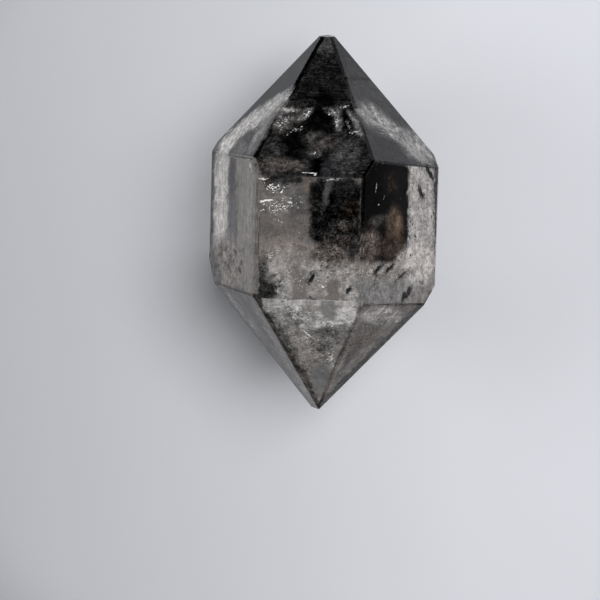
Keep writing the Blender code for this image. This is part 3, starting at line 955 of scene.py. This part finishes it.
BRIGHT_CLUSTERS = (
    Cluster(UPPER, (-6.6, 4.9), (0.6, 0.1), 16, long=(0.12, 0.42), slim=0.3, strewn=15, depth=(0.1, 0.5),
        tone=(0.5, 1.0)),
    Cluster(UPPER, (-5.5, 3.9), (1.0, 0.5), 38, long=(0.06, 0.34), slim=0.45, depth=(0.15, 0.6),
        tone=(0.5, 1.0), strewn=60),
    Cluster(UPPER, (-6.3, 2.5), (0.8, 0.12), 26, turn=8, long=(0.15, 0.5), slim=0.3, strewn=12,
        depth=(0.1, 0.5), tone=(0.6, 1.0)),
    Cluster(UPPER, (-4.9, 1.8), (2.2, 0.8), 120, turn=10, long=(0.05, 0.3), slim=0.4, depth=(0.1, 0.6),
        tone=(0.3, 1.0)),
    Cluster(UPPER, (-3.7, 2.3), (0.25, 0.15), 8, long=(0.1, 0.3)),
    Cluster(UPPER, (-4.8, 0.2), (0.5, 0.15), 7, turn=-20, long=(0.06, 0.22)),
    Cluster(UPPER, (-2.8, -1.0), (0.5, 0.1), 6, turn=-40, long=(0.06, 0.25), slim=0.25, tone=(0.1, 0.5)),
    Cluster(UPPER, (-5.0, -3.0), (0.4, 0.3), 6, turn=30, long=(0.06, 0.2)),
    Cluster(UPPER, (-5.9, -3.9), (0.5, 0.3), 14, turn=40, long=(0.08, 0.25)),
    Cluster(UPPER, (0.0, -7.2), (0.15, 0.15), 5, long=(0.1, 0.25), tone=(0.8, 1.0)),
    Cluster(UPPER, (0.9, 4.8), (1.1, 0.15), 26, turn=4, long=(0.1, 0.4), slim=0.3, tone=(0.1, 0.5),
        strewn=15),
    Cluster(UPPER, (2.2, -0.3), (1.1, 0.35), 8, turn=10, long=(0.06, 0.2), slim=0.3, tone=(0.0, 0.2)),
    # Painted highlight: a thin line of pale flakes along the edge between the upper and far upper faces.
    Cluster(FAR_UPPER, (-1.4, 5.55), (0.9, 0.06), 30, turn=-6, long=(0.15, 0.4), slim=0.25, strewn=8,
        tone=(0.7, 1.0), depth=(0.2, 0.5)),
    Cluster(UPPER_LEFT, (-8.1, 6.4), (0.65, 0.1), 26, turn=-72, long=(0.15, 0.5), slim=0.25, strewn=10,
        tone=(0.7, 1.0), depth=(0.2, 0.5)),
    Cluster(FAR_UPPER, (-4.2, 12.7), (1.6, 0.15), 40, turn=-4, long=(0.1, 0.4), slim=0.3,
        tone=(0.2, 0.9)),
    Cluster(FAR_UPPER, (-1.8, 12.1), (0.7, 0.25), 30, turn=40, long=(0.1, 0.35), slim=0.35),
    Cluster(FAR_UPPER, (-4.6, 11.2), (1.0, 0.7), 50, turn=50, long=(0.06, 0.25), tone=(0.1, 0.7)),
    Cluster(FAR_UPPER, (-2.9, 10.4), (1.0, 0.25), 26, turn=20, long=(0.08, 0.3), tone=(0.1, 0.6)),
    Cluster(FAR_UPPER, (1.2, 12.3), (0.7, 0.25), 26, turn=-15, long=(0.08, 0.3), tone=(0.2, 0.8)),
    Cluster(FAR_UPPER, (1.6, 11.2), (0.25, 0.7), 26, turn=0, long=(0.06, 0.3), tone=(0.2, 0.8)),
    Cluster(FAR_UPPER, (2.5, 13.0), (0.6, 0.15), 14, turn=20, long=(0.08, 0.3), tone=(0.2, 0.7)),
    Cluster(FAR_UPPER, (2.9, 10.8), (0.25, 0.9), 26, turn=20, long=(0.06, 0.2), tone=(0.2, 0.6)),
    Cluster(FAR_UPPER, (3.4, 10.1), (0.6, 0.15), 16, turn=10, long=(0.08, 0.3), tone=(0.3, 0.9)),
    Cluster(FAR_UPPER, (-0.9, 7.8), (0.4, 0.15), 12, turn=0, long=(0.08, 0.3), tone=(0.3, 0.9)),
    Cluster(UPPER_RIGHT, (6.27, 2.0), (0.06, 0.06), 4, long=(0.12, 0.2), tone=(1.0, 1.0)),
    Cluster(UPPER_RIGHT, (6.0, 3.9), (0.65, 0.05), 12, turn=88, long=(0.08, 0.3), slim=0.25,
        tone=(0.2, 0.7), strewn=8),
    Cluster(UPPER_RIGHT, (6.9, 2.9), (0.5, 0.05), 8, turn=80, long=(0.08, 0.2), slim=0.3,
        tone=(0.1, 0.5), strewn=8),
    Cluster(NEAR_UPPER, (0.3, -11.3), (1.0, 0.3), 60, turn=-6, long=(0.1, 0.4)),
    Cluster(NEAR_UPPER, (-1.75, -12.45), (0.75, 0.06), 30, turn=-36, long=(0.15, 0.5), slim=0.25,
        strewn=6, tone=(0.7, 1.0)),
    Cluster(NEAR_UPPER, (-3.2, -10.3), (0.6, 0.5), 40, turn=50, long=(0.08, 0.35)),
    Cluster(NEAR_UPPER, (-4.4, -10.8), (0.8, 0.1), 20, turn=-50, long=(0.1, 0.4), slim=0.3,
        tone=(0.2, 0.8)),
    Cluster(NEAR_UPPER, (0.9, -15.2), (0.6, 0.12), 16, turn=10, long=(0.08, 0.3), tone=(0.3, 0.9)),
    Cluster(NEAR_UPPER, (2.6, -10.2), (1.2, 0.6), 40, turn=10, long=(0.06, 0.3), tone=(0.2, 0.8)),
    Cluster(NEAR_UPPER, (0.0, -13.5), (2.5, 1.5), 60, long=(0.05, 0.2), tone=(0.1, 0.7)),
    Cluster(NEAR_UPPER_RIGHT, (2.0, -16.7), (0.15, 0.3), 8, turn=-30, tone=(0.2, 0.6)),
    Cluster(UPPER, (-1.5, -6.3), (5.0, 2.0), 120, long=(0.04, 0.16), tone=(0.2, 0.9)),
    Cluster(UPPER_RIGHT, (11.0, 1.0), (1.2, 5.0), 70, turn=0, long=(0.04, 0.18), tone=(0.3, 0.9)),
    Cluster(FAR_UPPER_RIGHT, (6.3, 11.2), (2.0, 0.9), 70, turn=-40, long=(0.04, 0.18), tone=(0.4, 1.0)),
    Cluster(FAR_UPPER_RIGHT, (9.8, 8.6), (2.6, 0.4), 70, turn=-45, long=(0.04, 0.2), tone=(0.4, 1.0)),
    Cluster(FAR_UPPER_LEFT, (-8.0, 11.0), (3.6, 0.5), 90, turn=40, long=(0.04, 0.2), tone=(0.4, 1.0)),
)


def slivers(way, at, half, count, **more):
    """A cluster of dark slivers, which lie above the veils."""
    return Cluster(way, at, half, count, depth=SLIVER_DEPTH_MM, **more)


DARK_CLUSTERS = (
    slivers(UPPER_LEFT, (-10.9, -3.0), (0.15, 0.1), 3, turn=-60, long=(0.45, 0.6), tone=(0.0, 0.3)),
    slivers(UPPER_LEFT, (-9.8, -3.3), (0.3, 0.06), 4, turn=-50, long=(0.5, 0.7), slim=0.45,
        tone=(0.0, 0.4)),
    slivers(UPPER_LEFT, (-9.4, -5.2), (0.4, 0.08), 5, turn=-60, long=(0.4, 0.8), slim=0.45,
        tone=(0.1, 0.5)),
    slivers(UPPER_LEFT, (-10.6, -4.5), (1.4, 2.0), 46, turn=-60, long=(0.15, 0.7), slim=0.45,
        tone=(0.0, 0.6), strewn=25),
    slivers(UPPER_LEFT, (-9.2, -7.6), (0.8, 0.8), 16, turn=-60, long=(0.12, 0.5), slim=0.45,
        tone=(0.0, 0.6)),
    slivers(UPPER, (-6.4, -1.9), (0.3, 0.3), 4, long=(0.08, 0.2), tone=(0.0, 0.4)),
    slivers(UPPER, (-6.2, -3.9), (0.5, 0.4), 12, turn=-60, long=(0.1, 0.35), slim=0.35, tone=(0.0, 0.4)),
    slivers(UPPER, (-5.9, -7.2), (0.8, 1.1), 40, turn=-60, long=(0.08, 0.4), slim=0.4, tone=(0.0, 0.4)),
    slivers(UPPER, (-1.2, -6.2), (0.35, 0.1), 10, turn=62, long=(0.2, 0.5), slim=0.4, tone=(0.0, 0.3),
        strewn=8),
    slivers(UPPER, (0.5, -5.0), (3.5, 2.0), 50, long=(0.05, 0.25), slim=0.5, tone=(0.0, 0.6)),
    slivers(UPPER, (2.9, -7.5), (0.35, 0.08), 5, turn=70, long=(0.15, 0.4), slim=0.4, tone=(0.0, 0.4)),
    slivers(UPPER, (1.7, -3.6), (2.6, 0.7), 40, long=(0.08, 0.35), slim=0.5, tone=(0.0, 0.5)),
    slivers(UPPER_RIGHT, (11.9, 5.8), (1.3, 0.1), 20, turn=-64, long=(0.3, 1.0), slim=0.35,
        tone=(0.0, 0.5), strewn=8),
    slivers(UPPER_RIGHT, (11.0, 3.3), (0.8, 0.16), 22, turn=-70, long=(0.2, 0.6), slim=0.35,
        tone=(0.0, 0.5), strewn=8),
    slivers(UPPER_RIGHT, (6.2, -5.2), (0.8, 0.15), 26, turn=45, long=(0.15, 0.5), slim=0.4,
        tone=(0.0, 0.4), strewn=15),
    slivers(UPPER_RIGHT, (7.5, -5.1), (0.8, 0.15), 26, turn=40, long=(0.15, 0.5), slim=0.4,
        tone=(0.0, 0.4), strewn=15),
    slivers(UPPER_RIGHT, (9.0, -5.8), (1.0, 0.12), 20, turn=42, long=(0.1, 0.45), slim=0.35,
        tone=(0.1, 0.6), strewn=15),
    slivers(UPPER_RIGHT, (6.0, -6.2), (1.2, 0.6), 18, turn=40, long=(0.06, 0.25), slim=0.5,
        tone=(0.0, 0.6)),
    slivers(UPPER_RIGHT, (9.9, -3.7), (0.1, 0.2), 3, turn=90, long=(0.15, 0.3), tone=(0.0, 0.3)),
    slivers(UPPER_RIGHT, (11.0, 0.0), (1.2, 6.0), 34, turn=-66, long=(0.15, 0.6), slim=0.4,
        tone=(0.2, 1.0), strewn=20),
    slivers(FAR_UPPER_RIGHT, (7.5, 10.5), (3.5, 1.2), 60, turn=-42, long=(0.05, 0.22), slim=0.5,
        tone=(0.0, 0.7)),
    slivers(FAR_UPPER_LEFT, (-8.0, 11.0), (3.6, 0.7), 60, turn=40, long=(0.05, 0.22), slim=0.5,
        tone=(0.0, 0.7)),
    slivers(NEAR_UPPER, (-3.9, -12.3), (0.8, 2.0), 34, turn=30, long=(0.06, 0.3), slim=0.5,
        tone=(0.1, 0.9)),
    slivers(NEAR_UPPER, (-2.3, -16.2), (0.5, 1.8), 26, turn=30, long=(0.06, 0.3), slim=0.5,
        tone=(0.1, 0.9)),
    slivers(NEAR_UPPER, (0.0, -14.5), (2.0, 2.0), 80, long=(0.06, 0.25), slim=0.5, tone=(0.0, 0.7)),
    slivers(NEAR_UPPER, (-3.0, -10.3), (2.6, 0.7), 50, turn=-30, long=(0.06, 0.3), slim=0.4,
        tone=(0.0, 0.6)),
)


# How a cluster's flakes spread from its middle and how far at most, in shares of its half size, how
# much they lean out of the face, and how their slimness varies.
SPREAD = 0.5
FARTHEST = 1.2
FLAKE_LEAN = 0.25
SLIM_RANGE = (0.5, 1.3)


def add_cluster(flakes, draws, cluster):
    """The cluster's flakes lie nearly flat under its face, drawn out along its turn."""
    face = face_towards(cluster.way)
    spread = draws.normal(0.0, SPREAD, size=(cluster.count, 2)).clip(-FARTHEST, FARTHEST)
    spread = spread * np.array(cluster.half)
    slant = math.radians(cluster.turn)
    across = cluster.at[0] + spread[:, 0] * math.cos(slant) - spread[:, 1] * math.sin(slant)
    above = cluster.at[1] + spread[:, 0] * math.sin(slant) + spread[:, 1] * math.cos(slant)
    places = placed_under(face, across, above, draws.uniform(*cluster.depth, size=cluster.count))
    kept = inside(places, CLUSTER_SKIN_MM)
    right, up = camera_frame()[:2]
    turns = []
    for _ in range(cluster.count):
        angle = slant + math.radians(draws.normal(0.0, cluster.strewn))
        along = right * math.cos(angle) + up * math.sin(angle)
        normal = Vector(face.normal) + Vector(draws.normal(0.0, FLAKE_LEAN, size=3))
        along = (along - normal * (along @ normal) / (normal @ normal)).normalized()
        normal.normalize()
        turns.append(list(Matrix((along, normal.cross(along), normal)).transposed().to_euler()))
    longs = draws.uniform(*cluster.long, size=cluster.count)
    slims = longs * cluster.slim * draws.uniform(*SLIM_RANGE, size=cluster.count)
    stretches = np.column_stack([longs, slims, slims])
    tones = draws.uniform(*cluster.tone, size=cluster.count)
    flakes.add(places[kept], np.array(turns)[kept], stretches[kept], tones[kept])


# Materials

# The growth lines run across the crystal, and the floor's unevenness is broad and faint.
GROWTH_LINE_GRAIN_MM = (6.0, 0.5, 6.0)
FLOOR_GRAIN_MM = 25.0


def stone_material():
    """Clear, faintly smoky quartz with a worn polish."""
    stone = settings().stone
    material, tree, shader = new_tree_material(STONE_SLOT)
    set_values(
        shader,
        Base_Color=(1.0, 1.0, 1.0, 1.0),
        Metallic=0.0,
        IOR=stone.ior,
        Transmission_Weight=1.0,
        Roughness=stone.polish,
        Specular_Tint=(*[stone.sheen] * 3, 1.0),
    )
    bump = add_node(tree, "ShaderNodeBump", Strength=1.0, Distance=stone.growth_lines)
    lines = cloudy_noise(tree, GROWTH_LINE_GRAIN_MM, detail=3.0, roughness=0.6)
    tree.links.new(lines, bump.inputs["Height"])
    tree.links.new(bump.outputs["Normal"], shader.inputs["Normal"])
    smoke = add_node(
        tree, "ShaderNodeVolumeAbsorption", Color=(*stone.smoke_colour, 1.0), Density=stone.smoke
    )
    tree.links.new(smoke.outputs["Volume"], tree.nodes["Material Output"].inputs["Volume"])
    return material


def flake_material(name, stops, roughness, specular, grain_mm, mottling=0.3):
    """A mineral flake: its own tone picks the colour, and fine grain breaks it up."""
    material, tree, shader = new_tree_material(name)
    grain = cloudy_noise(tree, grain_mm, detail=3.0, roughness=0.5)
    grain = maths(tree, "MULTIPLY_ADD", grain, mottling, -mottling / 2.0)
    tone = maths(tree, "ADD", attribute_value(tree, "tone"), grain, clamp=True)
    tree.links.new(colour_ramp(tree, tone, stops), shader.inputs["Base Color"])
    set_values(shader, Roughness=roughness, Specular_IOR_Level=specular)
    return material


# The veils' tint, from bluish at one end to brown at the other, and how a tone becomes a brightness.
VEIL_TINTS = [(0.0, (0.88, 0.94, 1.10)), (0.5, (1.0, 0.985, 0.965)), (1.0, (1.0, 0.68, 0.47))]
TONE_POWER = 2.2

# The veils' mottling: its grain along and across the crystal, its specks and lumps, and how fast a
# thread fades from its middle.
ALONG_GRAIN_MM = (0.35, 7.0, 0.35)
CROSS_GRAIN_MM = (2.4, 0.22, 0.22)
SPECK_MM = 0.20
LUMP_MM = 0.9
THREAD_SHARPNESS = 60.0


def thin_threads(tree, thread_mm):
    """Winding threads: 1 along them and 0 a little way off."""
    winding = cloudy_noise(tree, thread_mm, detail=5.0, roughness=0.6, distortion=1.2)
    away = maths(tree, "ABSOLUTE", maths(tree, "MULTIPLY_ADD", winding, 2.0, -1.0))
    return maths(tree, "POWER", maths(tree, "SUBTRACT", 1.0, away, clamp=True), THREAD_SHARPNESS)


def solid_share(tree, density):
    """The share of light that a veil of this density stops."""
    passed = maths(tree, "EXPONENT", maths(tree, "MULTIPLY", density, -1.0))
    return maths(tree, "SUBTRACT", 1.0, passed, clamp=True)


def veil_material(name, grain_mm, strength, contrast, thread_mm):
    """A dusting of mineral grains, tiny bubbles and healed cracks on a buried growth layer. What
    is painted on the sheet sets how dense, light, brown and mottled it is at each place; in some places that
    lightness is painted shade or painted highlight."""
    material, tree, shader = new_tree_material(name)
    grain = attribute_value(tree, "grain")
    clouds = cloudy_noise(tree, grain_mm, detail=8.0, roughness=0.74, distortion=0.6)
    along = cloudy_noise(tree, ALONG_GRAIN_MM, detail=4.0, roughness=0.6)
    cross = cloudy_noise(tree, CROSS_GRAIN_MM, detail=4.0, roughness=0.7)
    noise = blend_values(tree, attribute_value(tree, "along"), clouds, along)
    noise = blend_values(tree, attribute_value(tree, "cross"), noise, cross)
    streaks = maths(tree, "SUBTRACT", noise, 0.5)
    swing = maths(tree, "MULTIPLY", streaks, strength)
    lift = maths(tree, "EXPONENT", maths(tree, "MULTIPLY", swing, grain))
    haze = maths(tree, "MULTIPLY", attribute_value(tree, "dense"), lift)
    threads = thin_threads(tree, thread_mm)
    threads = maths(tree, "MULTIPLY", threads, attribute_value(tree, "wisp"))
    tree.links.new(solid_share(tree, maths(tree, "ADD", haze, threads)), shader.inputs["Alpha"])

    specks = maths(tree, "SUBTRACT", cloudy_noise(tree, SPECK_MM, detail=2.0, roughness=0.6), 0.5)
    lumps = cloudy_noise(tree, LUMP_MM, detail=4.0, roughness=0.6, distortion=0.8)
    lumps = maths(tree, "SUBTRACT", lumps, 0.5)
    dusting = maths(tree, "ADD", maths(tree, "ADD", specks, lumps), streaks)
    dusting = maths(tree, "MULTIPLY", dusting, contrast)
    dusting = maths(tree, "MULTIPLY", dusting, maths(tree, "MINIMUM", grain, 1.0))
    tone = attribute_value(tree, "tone")
    uneven = maths(tree, "MULTIPLY", dusting, maths(tree, "MULTIPLY_ADD", tone, 0.8, 0.4))
    value = maths(tree, "MAXIMUM", maths(tree, "ADD", tone, uneven), 0.0)
    warmth = maths(tree, "MULTIPLY_ADD", attribute_value(tree, "warm"), 0.5, 0.5)
    shade = add_node(tree, "ShaderNodeVectorMath", operation="SCALE")
    tree.links.new(colour_ramp(tree, warmth, VEIL_TINTS), shade.inputs[0])
    tree.links.new(maths(tree, "POWER", value, TONE_POWER), shade.inputs["Scale"])
    tree.links.new(shade.outputs["Vector"], shader.inputs["Base Color"])
    set_values(shader, Roughness=0.8, Specular_IOR_Level=0.0)
    return material


def floor_material():
    """A smooth, pale, matt sheet with the faintest unevenness, with painted shade: darker towards the left,
    and greyer away from the stone round a painted pool of light.
    """
    stage = settings().stage
    material, tree, shader = new_tree_material("pale_floor")
    pale = stage.floor_colour
    unevenness = cloudy_noise(tree, FLOOR_GRAIN_MM, detail=3.0, roughness=0.5)
    base = colour_ramp(tree, unevenness, [(0.3, [0.985 * part for part in pale]), (0.7, list(pale))])
    place = tree.nodes.new("ShaderNodeTexCoord")
    split = tree.nodes.new("ShaderNodeSeparateXYZ")
    tree.links.new(place.outputs["Object"], split.inputs["Vector"])
    aside, ahead = [
        maths(tree, "SUBTRACT", split.outputs[axis], middle * MM)
        for axis, middle in zip("XY", PALE_MIDDLE_MM)
    ]
    # Painted shade: the floor darkens towards the left of the picture, by this share across it.
    side = maths(tree, "DIVIDE", aside, PALE_REACH_MM * MM)
    side = maths(tree, "MULTIPLY_ADD", side, 0.5, 0.5)
    base = multiplied(tree, base, colour_ramp(tree, side, [(0.0, stage.left_painted_shade), (0.75, WHITE)]))
    # Painted shade away from the stone, round the painted pool of light in the middle.
    far = 0.0
    for away in (aside, ahead):
        share = maths(tree, "ABSOLUTE", maths(tree, "DIVIDE", away, FADE_REACH_MM * MM))
        far = maths(tree, "ADD", maths(tree, "POWER", share, FADE_SQUARENESS), far)
    far = maths(tree, "POWER", far, 1.0 / FADE_SQUARENESS)
    fade = colour_ramp(tree, far, [(PALE_REACH_MM / FADE_REACH_MM, WHITE), (1.0, stage.far_painted_shade)], "EASE")
    tree.links.new(multiplied(tree, base, fade), shader.inputs["Base Color"])
    set_values(shader, Roughness=0.9, Specular_IOR_Level=0.1)
    return material


# How a flake's own tone, from 0 to 1, becomes its colour.
DARK_FLAKE_TONES = [
    (0.0, (0.004, 0.004, 0.005)),
    (0.35, (0.012, 0.011, 0.011)),
    (0.6, (0.045, 0.026, 0.017)),
    (1.0, (0.16, 0.12, 0.09)),
]
BRIGHT_TONES = [(0.0, (0.25, 0.24, 0.23)), (0.5, (0.60, 0.59, 0.57)), (1.0, (0.93, 0.92, 0.90))]
SLIVER_TONES = [(0.0, (0.004, 0.004, 0.004)), (0.5, (0.018, 0.014, 0.012)), (1.0, (0.07, 0.05, 0.04))]

# The dark cloud: two lumps, a layer under the far upper face, the size of its gaps and how full it is.
# Lengths are in millimetres.
HEART = {"middle": (4.6, 1.2, 14.9), "half": (4.7, 4.5, 2.6), "count": 16000, "boxiness": 6.0}
COLUMN = {"middle": (0.3, 11.0, 12.0), "half": (2.6, 7.0, 3.5), "count": 6000}
CAP = {"count": 14000, "depth_from": 0.9, "depth_to": 3.0}
CLOUD_GRAIN_MM = 2.2
CLOUD_FILL = 0.75

# Its flakes: their sizes in flake widths, how their tones are drawn, and where towards +X they start
# to turn brown, over what width and by how much.
FLAKE_SIZES = (0.5, 1.7)
MOSTLY_DARK = (1.4, 5.0)
BROWN_FROM_MM = 4.5
BROWN_REACH_MM = 3.0
BROWN_LIFT = 0.35

# A cluster's flakes have their length in their stretch, so they are made from a flake this wide.
CLUSTER_FLAKE_MM = 1.0
CLUSTER_FLAKE_THICKNESS_MM = 0.06
CLUSTER_FLAKE_SIDES = 5


def cluster_piece(name, clusters, seed, material):
    draws = np.random.default_rng(seed)
    flakes = FlakePoints()
    for cluster in clusters:
        add_cluster(flakes, draws, cluster)
    width = CLUSTER_FLAKE_MM * MM
    thickness = CLUSTER_FLAKE_THICKNESS_MM * MM
    return flakes_piece(name, flakes, width, thickness, CLUSTER_FLAKE_SIDES, material)


# Operators, one for each piece or group of like pieces


class QUARTZ_OT_stone(bpy.types.Operator):
    """Gives the crystal its clear, faintly smoky quartz"""

    bl_idname = "quartz.stone"
    bl_label = "Stone"

    def execute(self, context):
        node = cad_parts[STONE_NODE]
        node.data.materials.clear()
        node.data.materials.append(stone_material())
        node.visible_shadow = False
        node.visible_diffuse = False
        return {"FINISHED"}


class QUARTZ_OT_dark_cloud(bpy.types.Operator):
    """Fills the crystal's heart and upper point with dark mineral flakes"""

    bl_idname = "quartz.dark_cloud"
    bl_label = "Dark cloud"

    def execute(self, context):
        wanted = settings().flakes
        draws = np.random.default_rng(wanted.seed)
        heart = lump_points(draws, **HEART)
        cap = layer_points(draws, face_towards(FAR_UPPER), **CAP)
        column = lump_points(draws, **COLUMN)
        points = np.vstack([heart, cap, column])
        points = points[inside(points)]
        points = thinned(draws, points, CLOUD_GRAIN_MM, wanted.seed + 1, CLOUD_FILL)
        tones = draws.beta(*MOSTLY_DARK, size=len(points))
        brown = np.clip((points[:, 0] - BROWN_FROM_MM) / BROWN_REACH_MM, 0.0, 1.0)
        tones = np.clip(tones + BROWN_LIFT * brown * draws.uniform(size=len(points)), 0.0, 1.0)
        flakes = FlakePoints()
        flakes.add_loose(draws, points, *FLAKE_SIZES, tones)
        material = flake_material("dark_flake", DARK_FLAKE_TONES, roughness=0.55, specular=0.3, grain_mm=0.6)
        flakes_piece("dark_cloud", flakes, wanted.dark_width, wanted.dark_thickness, 3, material)
        return {"FINISHED"}


class QUARTZ_OT_bright_flakes(bpy.types.Operator):
    """Sets glinting flakes and crack edges inside the crystal, and a line of pale flakes that is a painted
    highlight along one edge
    """

    bl_idname = "quartz.bright_flakes"
    bl_label = "Bright flakes"

    def execute(self, context):
        material = flake_material("bright_flake", BRIGHT_TONES, roughness=0.3, specular=0.5, grain_mm=0.3)
        piece = cluster_piece("bright_flakes", BRIGHT_CLUSTERS, settings().flakes.seed + 100, material)
        piece.visible_shadow = False
        return {"FINISHED"}


class QUARTZ_OT_dark_slivers(bpy.types.Operator):
    """Sets thin dark needles and dashes inside the crystal"""

    bl_idname = "quartz.dark_slivers"
    bl_label = "Dark slivers"

    def execute(self, context):
        material = flake_material("dark_sliver", SLIVER_TONES, roughness=0.5, specular=0.3, grain_mm=0.3)
        cluster_piece("dark_slivers", DARK_CLUSTERS, settings().flakes.seed + 200, material)
        return {"FINISHED"}


class QUARTZ_OT_veils(bpy.types.Operator):
    """Lays dark and milky veils on growth layers just under the faces, with painted shade and highlight in
    some of their paint
    """

    bl_idname = "quartz.veils"
    bl_label = "Veils"

    def execute(self, context):
        deep = veil_material("dark_veil", grain_mm=1.2, strength=8.0, contrast=1.1, thread_mm=1.0)
        shallow = veil_material("milky_veil", grain_mm=0.7, strength=6.0, contrast=0.9, thread_mm=0.7)
        dark = (DARK_DEPTH_MM, DARK_RIPPLE_MM, deep)
        milky = (MILKY_DEPTH_MM, MILKY_RIPPLE_MM, shallow)
        veils_piece("dark_veils_and_painted_shade", DARK_VEILS_AND_PAINTED_SHADE, *dark, seed=31, shadow=False)
        veils_piece("under_veils_and_painted_shade", UNDER_VEILS_AND_PAINTED_SHADE, *dark, seed=61, shadow=True)
        veils_piece("milky_veils", MILKY_VEILS, *milky, seed=41, shadow=False)
        return {"FINISHED"}


class QUARTZ_OT_stage(bpy.types.Operator):
    """Lays the pale floor and sets the soft light and the camera"""

    bl_idname = "quartz.stage"
    bl_label = "Stage"

    def execute(self, context):
        lay_floor()
        hang_lights()
        set_room()
        place_camera()
        return {"FINISHED"}


def lay_floor():
    half = settings().stage.floor_side / 2.0
    mesh = bpy.data.meshes.new("floor")
    corners = [(-half, -half, 0.0), (half, -half, 0.0), (half, half, 0.0), (-half, half, 0.0)]
    mesh.from_pydata(corners, [], [(0, 1, 2, 3)])
    floor = add_to_scene("floor", mesh)
    floor.location.z = -FLOOR_GAP_MM * MM
    floor.data.materials.append(floor_material())


def soft_light(name, place, size, power, colour):
    """A rectangular lamp that looks at the stone and doesn't show through it."""
    data = bpy.data.lights.new(name, "AREA")
    data.shape = "RECTANGLE"
    data.size, data.size_y = size
    data.energy = power
    data.color = colour
    light = add_to_scene(name, data)
    light.location = place
    aim = Vector((0.0, 0.0, LIGHT_AIM_MM * MM)) - Vector(place)
    light.rotation_euler = aim.to_track_quat("-Z", "Y").to_euler()
    light.visible_transmission = False


def hang_lights():
    stage = settings().stage
    soft_light("key_light", KEY_PLACE, KEY_SIZE, stage.key_power, KEY_COLOUR)
    soft_light("fill_light", FILL_PLACE, FILL_SIZE, stage.fill_power, WHITE)


def set_room():
    """A soft room, brightest at the two sides and dim overhead and beyond the points."""
    world = bpy.data.worlds.new("room")
    world.use_nodes = True
    tree = world.node_tree
    glow = tree.nodes["Background"]
    place = tree.nodes.new("ShaderNodeTexCoord")
    split = tree.nodes.new("ShaderNodeSeparateXYZ")
    tree.links.new(place.outputs["Generated"], split.inputs["Vector"])
    aside = maths(tree, "ABSOLUTE", split.outputs["X"])
    tree.links.new(colour_ramp(tree, aside, ROOM_SHADES), glow.inputs["Color"])
    glow.inputs["Strength"].default_value = settings().stage.room_glow
    bpy.context.scene.world = world


def place_camera():
    """Looks down on the lying crystal from the photograph's angle."""
    right, up, back, place = camera_frame()
    data = bpy.data.cameras.new("camera")
    data.sensor_width = SENSOR_WIDTH_MM
    data.lens = CAMERA_DISTANCE_MM * SENSOR_WIDTH_MM / (MM_PER_PIXEL * PICTURE_SIDE)
    data.clip_start = 0.01
    data.clip_end = 10.0
    camera = add_to_scene("camera", data)
    turned = Matrix((right, up, back)).transposed()
    camera.matrix_world = Matrix.Translation(place * MM) @ turned.to_4x4()
    bpy.context.scene.camera = camera


def set_rendering():
    """The tones of the picture, and enough bounces for light to leave the stone again."""
    scene = bpy.context.scene
    scene.view_settings.view_transform = "Standard"
    scene.view_settings.gamma = 0.85
    scene.cycles.max_bounces = 24
    scene.cycles.transmission_bounces = 24
    scene.cycles.glossy_bounces = 12
    scene.cycles.diffuse_bounces = 4
    scene.cycles.transparent_max_bounces = 48
    scene.cycles.caustics_reflective = False
    scene.cycles.caustics_refractive = False
    scene.cycles.use_denoising = True


# Panel and registration


class QuartzSettings(bpy.types.PropertyGroup):
    """Everything that a user would change."""

    stone: bpy.props.PointerProperty(type=QuartzStone)
    flakes: bpy.props.PointerProperty(type=QuartzFlakes)
    stage: bpy.props.PointerProperty(type=QuartzStage)


OPERATORS = (
    QUARTZ_OT_stone,
    QUARTZ_OT_dark_cloud,
    QUARTZ_OT_bright_flakes,
    QUARTZ_OT_dark_slivers,
    QUARTZ_OT_veils,
    QUARTZ_OT_stage,
)


class QUARTZ_PT_panel(bpy.types.Panel):
    """Lists the pieces of the crystal"""

    bl_idname = "QUARTZ_PT_panel"
    bl_label = "Quartz crystal"
    bl_space_type = "VIEW_3D"
    bl_region_type = "UI"
    bl_category = "Quartz"

    def draw(self, context):
        for operator in OPERATORS:
            self.layout.operator(operator.bl_idname)
        for group in (settings().stone, settings().flakes, settings().stage):
            column = self.layout.column(align=True)
            for name in group.__annotations__:
                column.prop(group, name)


CLASSES = (QuartzStone, QuartzFlakes, QuartzStage, QuartzSettings, *OPERATORS, QUARTZ_PT_panel)


def register():
    for item in CLASSES:
        bpy.utils.register_class(item)
    bpy.types.Scene.quartz = bpy.props.PointerProperty(type=QuartzSettings)


def unregister():
    del bpy.types.Scene.quartz
    for item in reversed(CLASSES):
        bpy.utils.unregister_class(item)


def main():
    register()
    bpy.ops.quartz.stone()
    bpy.ops.quartz.dark_cloud()
    bpy.ops.quartz.bright_flakes()
    bpy.ops.quartz.dark_slivers()
    bpy.ops.quartz.veils()
    bpy.ops.quartz.stage()
    set_rendering()


if __name__ == "__main__":
    main()
